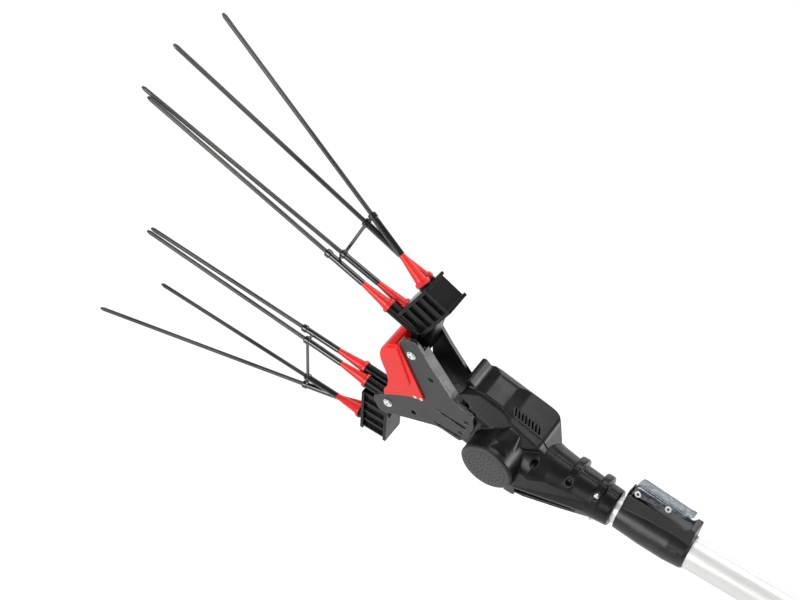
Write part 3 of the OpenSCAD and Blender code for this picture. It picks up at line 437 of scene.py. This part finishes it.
def cross_screw(mesh, seat, side, head_r, head_h, shank_r, shank):
    sides = 24
    slot, reach = 0.15 * head_r, 0.56 * head_r
    arm = [(slot, -slot), (0.6 * reach, -slot), (reach, -0.8 * slot), (1.04 * reach, 0.0),
           (reach, 0.8 * slot), (0.6 * reach, slot)]
    crown = [(0.72, 0.97), (0.92, 0.78), (1.0, 0.4), (1.0, 0.0)]
    profile = [(out * head_r, rise * head_h) for out, rise in crown] + [(shank_r, 0.0), (shank_r, -shank)]
    fresh = []

    def ring(radius, height):
        verts = bmesh.ops.create_circle(mesh, cap_ends=False, radius=radius, segments=sides)["verts"]
        bmesh.ops.translate(mesh, vec=(0.0, 0.0, height), verts=verts)
        fresh.extend(verts)
        # The ring's last side stays out of its loop.
        return [mesh.edges.get(pair) for pair in zip(verts, verts[1:])]

    def cross(share, height):
        verts = []
        for quarter in range(4):
            turn = Matrix.Rotation(math.pi / 2 * quarter, 3, "Z")
            verts += [mesh.verts.new(turn @ Vector((x * share, y * share, height))) for x, y in arm]
        fresh.extend(verts)
        return verts, [mesh.edges.new((verts[k - 1], verts[k])) for k in range(len(verts))]

    pit, pit_edges = cross(0.45, 0.35 * head_h)
    mesh.faces.new(pit)
    mouth, mouth_edges = cross(1.0, 0.99 * head_h)
    loops = [pit_edges, mouth_edges] + [ring(radius, height) for radius, height in profile]
    for first, second in zip(loops, loops[1:]):
        bmesh.ops.bridge_loops(mesh, edges=first + second)
    bmesh.ops.holes_fill(mesh, edges=loops[-1], sides=sides)
    facing = Vector((0.0, 0.0, 1.0)).rotation_difference(Vector((0.0, side, 0.0)))
    bmesh.ops.transform(mesh, matrix=Matrix.Translation(seat) @ facing.to_matrix().to_4x4(), verts=fresh)


def screw_piece(name, finishes, node, body, screws, in_shade=()):
    mesh = bmesh.new()
    for number, (seat, side, sizes) in enumerate(screws):
        made = len(mesh.faces)
        cross_screw(mesh, seat, side, **sizes)
        mesh.faces.ensure_lookup_table()
        for face in mesh.faces[made:]:
            face.material_index = 1 if number in in_shade else 0
    bmesh.ops.recalc_face_normals(mesh, faces=mesh.faces)
    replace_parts(piece_of(mesh, name, finishes, body), node)


screw_zinc = plated("screw_zinc", (0.7, 0.71, 0.73), 0.26, 1.0, grain=(0.0009, 0.0009, 0.0009),
                    tones=((0.78, 0.785, 0.79), (0.9, 0.9, 0.9)), sheen=(0.3, 0.42),
                    depth=0.00002, strength=0.15, edge=0.0002)
black_oxide_and_shade = plated("black_oxide_and_shade_steel", (0.03, 0.03, 0.032), 0.4, 0.7, grain=(0.001, 0.001, 0.001),
                     tones=((0.018, 0.018, 0.02), (0.055, 0.055, 0.06)), sheen=(0.32, 0.5),
                     depth=0.00004, strength=0.3, edge=0.0003)
boss_seat = 0.0116
housing_screw = {"head_r": 0.0031, "head_h": 0.0028, "shank_r": 0.002, "shank": 0.0246}
neck_places = [Vector((x, boss_seat, z)) for x in (0.410, 0.4415) for z in (0.0215, -0.0215)]
body_places = [head_point(-0.038, boss_seat, 0.0205), head_point(-0.037, boss_seat, -0.025),
               head_point(0.056, boss_seat, -0.026)]
# The five screws behind the neck's mouth take the black steel, a painted shade.
screw_piece("cross_head_housing_screws", [screw_zinc, black_oxide_and_shade], "housing_screws", "head",
            [(seat, 1.0, housing_screw) for seat in neck_places + body_places], in_shade=(2, 3, 4, 5, 6))

# Fork plates: dark grey glass-filled nylon, the left one on the near side of
# the gear box, the right one deep in its far side, with two arms each. The right one is drawn near black, a
# painted shade for its faces in shadow between the plates.
# The left plate's edges are painted much paler: a painted highlight for the bright rims along its outline,
# together with some wear.
fork_grey, net, shader = moulded("fork_grey_nylon", (0.021, 0.021, 0.0225), wear_and_highlight_tone=(0.34, 0.34, 0.35),
                                 rough=0.4, edge=0.0009, wear_and_highlight_strength=2.2)
# Painted shade: near black round the two holes and on the floors of the rear slots, where these recesses lie
# in shade.
hole_places = [head_point(0.098, 0.0, side * 0.0378) for side in (1, -1)]
slot_depth, slot_brim = 0.0226, 0.0236
fork_view = side_view(net)
hole_shade = summed(net, *[bore_shade_share(net, fork_view, centre, 0.0034, 0.0038) for centre in hole_places])
spot = net.nodes.new("ShaderNodeTexCoord")
lying = net.nodes.new("ShaderNodeNewGeometry")
recess_shade = ranged(net, along(net, spot.outputs["Object"], "Y"), 1.0, 0.0, slot_depth, slot_brim)
outward = ranged(net, along(net, lying.outputs["Normal"], "Y"), 0.0, 1.0, 0.6, 0.8)
slot_floor_shade = summed(net, recess_shade, outward, "MULTIPLY")
painted_over(net, shader, summed(net, hole_shade, slot_floor_shade), (0.004, 0.004, 0.004))
dress(fork_grey, "fork_left")
# The right plate and the web share a near-black copy of the fork's nylon, a painted shade for faces in the
# shadow between the plates.
fork_shade_black, net, shader = moulded("fork_shade_black_nylon", (0.004, 0.004, 0.0045), wear_and_highlight_tone=(0.05, 0.05, 0.052),
                                  rough=0.36, edge=0.0009, gloss=0.3)
dress(fork_shade_black, "fork_right")


# Fork stiffeners: the left plate's arms turn inwards at their outer edges as
# deep walls, and a web closes the notch of the right plate, all of one moulding.
# Outlines hold a place along and across the head and a corner's round, in mm.
def slab(outline, near, far, rim):
    mesh = bmesh.new()
    corners = [mesh.verts.new(head_point(u / 1000, near, w / 1000)) for u, w, bend in outline]
    mesh.faces.new(corners)
    for corner, (u, w, bend) in zip(corners, outline):
        bmesh.ops.bevel(mesh, geom=[corner], offset=bend / 1000, affect="VERTICES", segments=6, profile=0.5,
                        material=-1)
    grown = bmesh.ops.extrude_face_region(mesh, geom=mesh.faces[:])["geom"]
    lifted = {item for item in grown if isinstance(item, bmesh.types.BMVert)}
    bmesh.ops.translate(mesh, vec=(0.0, far - near, 0.0), verts=list(lifted))
    brim = [edge for edge in mesh.edges if set(edge.verts) <= lifted]
    bmesh.ops.bevel(mesh, geom=brim, offset=rim, affect="EDGES", segments=4, profile=0.5, material=-1)
    bmesh.ops.recalc_face_normals(mesh, faces=mesh.faces)
    return mesh


def head_slabs(name, slabs, stuff):
    most_smooth_corners = 8
    mesh = bmesh.new()
    for outline, near, far, rim in slabs:
        layer = slab(outline, near, far, rim)
        layer_data = bpy.data.meshes.new(name + "_layer")
        layer.to_mesh(layer_data)
        layer.free()
        mesh.from_mesh(layer_data)
        bpy.data.meshes.remove(layer_data)
    piece = piece_of(mesh, name, [stuff], "head")
    piece.data.shade_smooth()
    piece.data.set_sharp_from_angle(angle=math.radians(35))
    for face in piece.data.polygons:
        face.use_smooth = len(face.vertices) <= most_smooth_corners
    return piece


arm_wall = [(119, 69.6, 1), (105, 58.2, 1), (73.6, 34.2, 1), (67.6, 30.9, 0.6), (60, 29.2, 0.6),
            (60.2, 26.6, 0.6), (68.4, 28.4, 0.6), (75.2, 32.1, 1), (106.6, 56.1, 1), (120.6, 67.5, 1)]
low_wall = [(u, -w, bend) for u, w, bend in arm_wall]
wall_near, wall_far = 0.0206, 0.0116
web = [(72, 0, 2), (124, 37, 4), (117, 18, 8), (113, 0, 8), (117, -18, 8), (124, -37, 4)]
web_near, web_far = -0.0191, -0.0155
stiffener_rim = 0.0006
head_slabs("fork_arm_walls", [(wall, wall_near, wall_far, stiffener_rim) for wall in (arm_wall, low_wall)],
           fork_grey)
head_slabs("fork_web", [(web, web_near, web_far, stiffener_rim)], fork_shade_black)

# Fork screws: blackened steel cross-head screws, sunk flush in the plates.
# They pull the plates against the gear box.
plate_seats = ((0.0225, 0.0053), (-0.022, 0.0103))
screw_piece("flush_fork_screws", [black_oxide_and_shade], "fork_screws", "head",
            [(head_point(0.043, seat, side * 0.012), 1.0,
              {"head_r": 0.0031, "head_h": 0.0016, "shank_r": 0.002, "shank": shank})
             for seat, shank in plate_seats for side in (1, -1)])

# Front guard: a red moulding between the fork's arms, with a raised panel on
# its left cheek, which keeps twigs and leaves out of the fork.
guard_red, net, shader = moulded("guard_red", (0.96, 0.016, 0.013), wear_and_highlight_tone=(0.95, 0.06, 0.05), rough=0.32,
                                 edge=0.0006, wear_and_highlight_strength=0.4, flow=0.05, gloss=0.4)
cheek = [(93, -1.5, 3), (145, 58.3, 5), (157.5, 45.5, 5), (161, 30, 7), (158, 17, 6), (140, -7, 7),
         (136.6, -20, 4), (138.5, -33, 2), (135.5, -41.5, 2), (121, -24, 8), (107, -10, 5), (98, -6.2, 3)]
panel = [(117, -1.5, 5), (114, 10.5, 4), (144.5, 55, 4), (155.5, 44, 5), (159, 29.5, 4.5),
         (156.5, 18.5, 4.5), (139, -5, 5), (134.3, -19, 3)]
front = [(149, 54.5, 1), (158, 44.8, 5), (161, 30, 7), (158, 17, 6), (142.5, -3.5, 1),
         (140.3, -1.8, 1), (155.3, 18, 6), (158.2, 30, 6), (155.6, 43.2, 4), (147.2, 52.5, 1)]
lip = [(141, 2, 8), (136, 51.3, 2), (142, 56.3, 3), (157.5, 45.5, 5), (161, 30, 7), (158, 17, 6),
       (140, -7, 7), (136.6, -20, 4), (138, -44, 2), (130, -45, 2)]
guard = head_slabs("red_guard", [(cheek, 0.0244, 0.0264, 0.0007), (panel, 0.0262, 0.0283, 0.0016),
                                 (front, -0.0195, 0.0246, 0.0003), (lip, -0.0194, -0.0214, 0.0007)],
                   guard_red)
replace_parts(guard, "front_guard")

# Guard screws: two small zinc plated screws through the left cheek's foot,
# into the left fork plate.
cheek_face = 0.0264
cheek_screw = {"head_r": 0.0022, "head_h": 0.0011, "shank_r": 0.0012, "shank": 0.0051}
guard_places = [head_point(0.097 + 0.007 * k, cheek_face, -0.0015 - 0.0035 * k) for k in (0, 1)]
screw_piece("cheek_screws", [screw_zinc], "guard_screws", "head",
            [(seat, 1.0, cheek_screw) for seat in guard_places])

# Pivot screws: one zinc plated pan screw with a washer in each end of the two
# comb shafts, which hold the fork plates on the shafts.
pivot_u, pivot_w = 0.128, 0.0543
washer_left, washer_right = 0.0252, -0.0202
pan_screw = {"head_r": 0.0044, "head_h": 0.0016, "shank_r": 0.0025, "shank": 0.0119}
screw_piece("pan_pivot_screws", [screw_zinc], "pivot_screws", "head",
            [(head_point(pivot_u, y, side * pivot_w), math.copysign(1.0, y), pan_screw)
             for y in (washer_left, washer_right) for side in (1, -1)])

# Shafts, pins and spacers: turned steel, bare, with fine rings from the lathe
# round them and a thin film of grease.
turned_steel, net, shader = bare_skin("turned_steel", (0.5, 0.5, 0.51), 0.3, 1.0)
lathe = cloud(net, (0.03, 0.00035, 0.03), 3.0)
film = cloud(net, (0.006, 0.006, 0.006), 3.0)
net.links.new(mixed(net, ranged(net, film, 0.0, 1.0), (0.4, 0.39, 0.37), (0.6, 0.6, 0.61)),
              shader.inputs["Base Color"])
net.links.new(summed(net, ranged(net, lathe, 0.22, 0.36), ranged(net, film, -0.06, 0.06)),
              shader.inputs["Roughness"])
raised(net, shader, lathe, 0.00004, 0.3, soft_edges(net, 0.0004))
dress(turned_steel, "pivot_shafts", "fork_spacers", "motor_shaft", "gear_axle", "crank_pin",
      "upper_lever_pin", "lower_lever_pin")

# Bearings: two hardened and ground steel rings on the crank's axle, finer and
# brighter than the turned shafts.
bearing_steel = plated("bearing_steel", (0.62, 0.62, 0.63), 0.18, 1.0, grain=(0.01, 0.0001, 0.01),
                       tones=((0.5, 0.5, 0.51), (0.7, 0.7, 0.71)), sheen=(0.14, 0.26),
                       depth=0.00002, strength=0.2, edge=0.0004, detail=3.0)
dress(bearing_steel, "axle_bearings")

# Motor can: a drawn steel can with a yellowish zinc finish, held across the
# housing behind the cap.
can_zinc, net, shader = bare_skin("can_yellow_zinc", (0.55, 0.52, 0.42), 0.32, 1.0)
drawn = cloud(net, (0.0006, 0.05, 0.0006), 3.0)
passivated = cloud(net, (0.012, 0.012, 0.012), 3.0)
net.links.new(mixed(net, ranged(net, passivated, 0.0, 1.0), (0.56, 0.5, 0.36), (0.6, 0.58, 0.5)),
              shader.inputs["Base Color"])
net.links.new(ranged(net, drawn, 0.24, 0.4), shader.inputs["Roughness"])
raised(net, shader, drawn, 0.00004, 0.25, soft_edges(net, 0.0006))
dress(can_zinc, "motor_can")

# Gear pair: sintered steel pinion and crank gear, grey and slightly porous,
# wet with grease on the teeth.
sintered, net, shader = bare_skin("sintered_gear", (0.3, 0.3, 0.3), 0.42, 1.0)
pores = cloud(net, (0.0004, 0.0004, 0.0004), 4.0)
grease = cloud(net, (0.005, 0.005, 0.005), 3.0)
net.links.new(mixed(net, ranged(net, pores, 0.0, 1.0), (0.2, 0.2, 0.2), (0.38, 0.38, 0.385)),
              shader.inputs["Base Color"])
net.links.new(summed(net, ranged(net, grease, 0.2, 0.5), ranged(net, pores, -0.05, 0.08)),
              shader.inputs["Roughness"])
raised(net, shader, pores, 0.00006, 0.4, soft_edges(net, 0.0003))
dress(sintered, "pinion", "crank_gear")

# Connecting rods: two flat bars cut from steel plate, from the crank's pin to
# the lever of each comb, with the grain of the rolling on them.
rod_steel = plated("rolled_rod_steel", (0.4, 0.41, 0.43), 0.36, 1.0, grain=(0.0006, 0.02, 0.02),
                   tones=((0.3, 0.31, 0.33), (0.48, 0.49, 0.51)), sheen=(0.28, 0.46),
                   depth=0.00005, strength=0.3, edge=0.0005)
dress(rod_steel, "upper_rod", "lower_rod")

# Combs: black glass-filled nylon bodies with flanges and ribs, which carry the
# tines and swing on the fork's shafts.
comb_black, net, shader = moulded("comb_black_nylon", (0.004, 0.004, 0.0045), wear_and_highlight_tone=(0.06, 0.06, 0.062),
                                  rough=0.28, edge=0.0008, gloss=0.15)
dress(comb_black, "upper_comb", "lower_comb")

# Comb bushes: flanged sleeves of sintered bronze, pressed into both ends of a
# comb's hub and soaked in oil.
bush_bronze = plated("sintered_bronze", (0.5, 0.33, 0.14), 0.4, 1.0, grain=(0.0005, 0.0005, 0.0005),
                     tones=((0.36, 0.22, 0.09), (0.6, 0.42, 0.2)), sheen=(0.3, 0.52),
                     depth=0.00005, strength=0.35, edge=0.0003)
dress(bush_bronze, "upper_bushes", "lower_bushes")

# Tine holders: red nylon cones with a collar, pushed over the tines and on to
# the sockets of the combs.
holder_red, net, shader = moulded("holder_red", (0.84, 0.022, 0.018), wear_and_highlight_tone=(0.9, 0.07, 0.06), rough=0.34,
                                  edge=0.0006, wear_and_highlight_strength=0.4, flow=0.05)
dress(holder_red, "upper_holders", "lower_holders")

# Tine braces: glossy black soft nylon, four sleeves with their links moulded
# as one, which hold the four tines of a comb apart.
brace_black, net, shader = moulded("brace_black", (0.003, 0.003, 0.0033), wear_and_highlight_tone=(0.015, 0.015, 0.016),
                                   rough=0.11, edge=0.0005, gloss=1.0)
dress(brace_black, "upper_brace", "lower_brace")


# Tines: pultruded carbon rods, drawn straight, so that their fibres run the
# whole length as fine grey and brown streaks under a thin resin skin.
def carbon(name, at, aim):
    stuff, net, shader = bare_skin(name, (0.06, 0.055, 0.05), 0.4, 0.0)
    turn = Vector((1.0, 0.0, 0.0)).rotation_difference(aim).to_euler()
    fibre = cloud(net, (0.3, 0.0006, 0.0006), 3.0, at, turn)
    tow = cloud(net, (0.12, 0.002, 0.002), 2.0, at, turn)
    streak = ranged(net, summed(net, fibre, tow, "MULTIPLY"), 0.0, 1.0, 0.12, 0.4)
    net.links.new(mixed(net, streak, (0.018, 0.017, 0.016), (0.13, 0.118, 0.106)),
                  shader.inputs["Base Color"])
    net.links.new(ranged(net, tow, 0.22, 0.4), shader.inputs["Roughness"])
    raised(net, shader, fibre, 0.00003, 0.25, soft_edges(net, 0.0002))
    return stuff


comb_tilt = math.radians(12.7)
feet = ((0.0444, 0.007, 0.0859), (0.0444, -0.007, 0.0759),
        (0.0384, -0.007, 0.0125), (0.0501, 0.007, 0.0125))
leans = ((-0.11, 8.3), (0.11, 8.3), (0.012, -6.05), (-0.012, -6.05))
for row, flip in (("upper", 0.0), ("lower", math.pi)):
    comb_frame = (head_frame @ Matrix.Rotation(flip, 4, "X") @ Matrix.Translation((pivot_u, 0.0, pivot_w))
                  @ Matrix.Rotation(-comb_tilt, 4, "Y"))
    for k, (foot, (lean, splay)) in enumerate(zip(feet, leans), start=1):
        run = math.sqrt(1.0 - lean * lean)
        aim = Vector((run * math.cos(math.radians(splay)), lean, run * math.sin(math.radians(splay))))
        tine_skin = carbon(f"{row}_carbon_{k}", comb_frame @ Vector(foot), comb_frame.to_3x3() @ aim)
        dress(tine_skin, f"{row}_tine_{k}")
